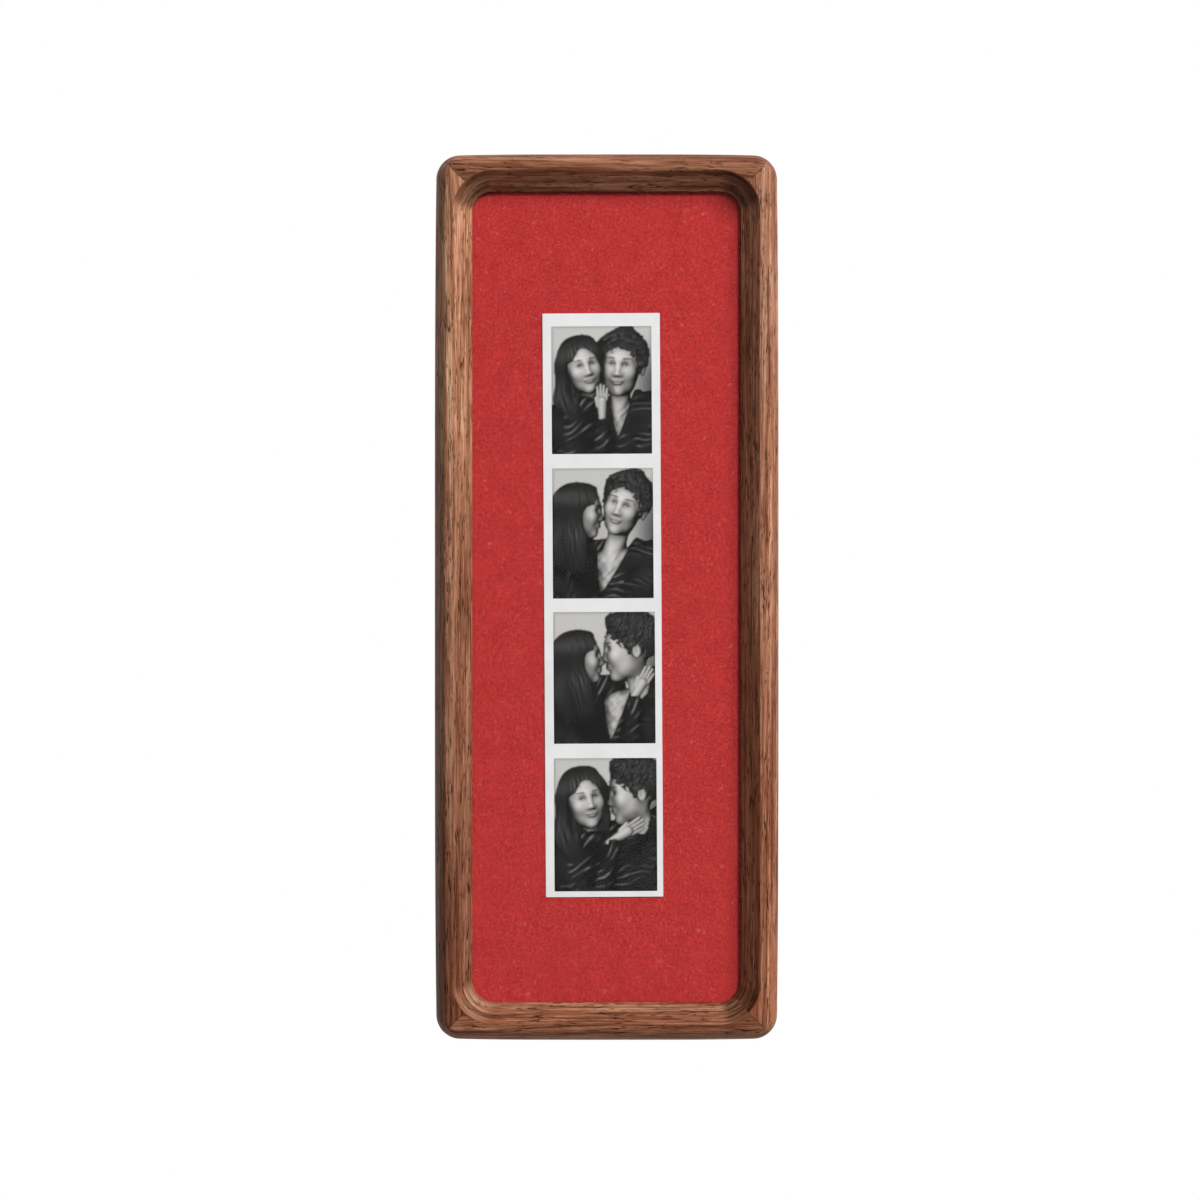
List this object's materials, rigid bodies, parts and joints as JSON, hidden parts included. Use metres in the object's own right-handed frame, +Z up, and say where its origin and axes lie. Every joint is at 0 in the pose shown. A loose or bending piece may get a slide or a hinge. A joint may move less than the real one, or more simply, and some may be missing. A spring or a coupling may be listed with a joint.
{
  "type": "photo frame",
  "caption": "Tall narrow walnut wall frame with mitred corners and a splayed inner bevel, holding a booth photo strip on a red board, with turn buttons and a sawtooth hanger behind.",
  "frame": {"origin": "the middle notch of the sawtooth hanger, where the nail sits, in the plane of the wall", "axes": "+Z up the frame, +X to the right of a viewer in front of it, +Y from the picture towards the wall"},
  "size_m": [0.12, 0.0142, 0.3092],
  "materials": {
    "walnut": "oiled, satin",
    "clear_acrylic": "clear, polished",
    "photo_paper": "semi-matte print",
    "red_board": "matte, fibrous",
    "fibreboard": "raw, smooth",
    "nickel_steel": "nickel plated",
    "plain_steel": "zinc plated",
    "felt": "pressed felt"
  },
  "bodies": {
    "frame": {"top_rail": "walnut", "bottom_rail": "walnut", "left_stile": "walnut", "right_stile": "walnut", "glazing_sheet": "clear_acrylic", "photo_strip": "photo_paper", "mount_board": "red_board", "backing_board": "fibreboard", "sawtooth_hanger": "nickel_steel", "button_screw_left_1": "plain_steel", "button_screw_left_2": "plain_steel", "button_screw_left_3": "plain_steel", "button_screw_right_1": "plain_steel", "button_screw_right_2": "plain_steel", "button_screw_right_3": "plain_steel", "hanger_nail_left": "plain_steel", "hanger_nail_right": "plain_steel", "wedge_nail_top_left": "plain_steel", "wedge_nail_top_right": "plain_steel", "wedge_nail_bottom_left": "plain_steel", "wedge_nail_bottom_right": "plain_steel", "wall_bumper_left": "felt", "wall_bumper_right": "felt"},
    "button_left_1": {"turn_button_left_1": "nickel_steel"},
    "button_left_2": {"turn_button_left_2": "nickel_steel"},
    "button_left_3": {"turn_button_left_3": "nickel_steel"},
    "button_right_1": {"turn_button_right_1": "nickel_steel"},
    "button_right_2": {"turn_button_right_2": "nickel_steel"},
    "button_right_3": {"turn_button_right_3": "nickel_steel"}
  },
  "joints": [
    {"name": "turn_left_1", "type": "hinge", "parent": "frame", "child": "button_left_1", "pos_m": [-0.0548, -0.0025, -0.0482], "axis": [0, 1, 0], "continuous": true},
    {"name": "turn_left_2", "type": "hinge", "parent": "frame", "child": "button_left_2", "pos_m": [-0.0548, -0.0025, -0.1462], "axis": [0, 1, 0], "continuous": true},
    {"name": "turn_left_3", "type": "hinge", "parent": "frame", "child": "button_left_3", "pos_m": [-0.0548, -0.0025, -0.2442], "axis": [0, 1, 0], "continuous": true},
    {"name": "turn_right_1", "type": "hinge", "parent": "frame", "child": "button_right_1", "pos_m": [0.0548, -0.0025, -0.0482], "axis": [0, 1, 0], "continuous": true},
    {"name": "turn_right_2", "type": "hinge", "parent": "frame", "child": "button_right_2", "pos_m": [0.0548, -0.0025, -0.1462], "axis": [0, 1, 0], "continuous": true},
    {"name": "turn_right_3", "type": "hinge", "parent": "frame", "child": "button_right_3", "pos_m": [0.0548, -0.0025, -0.2442], "axis": [0, 1, 0], "continuous": true}
  ]
}
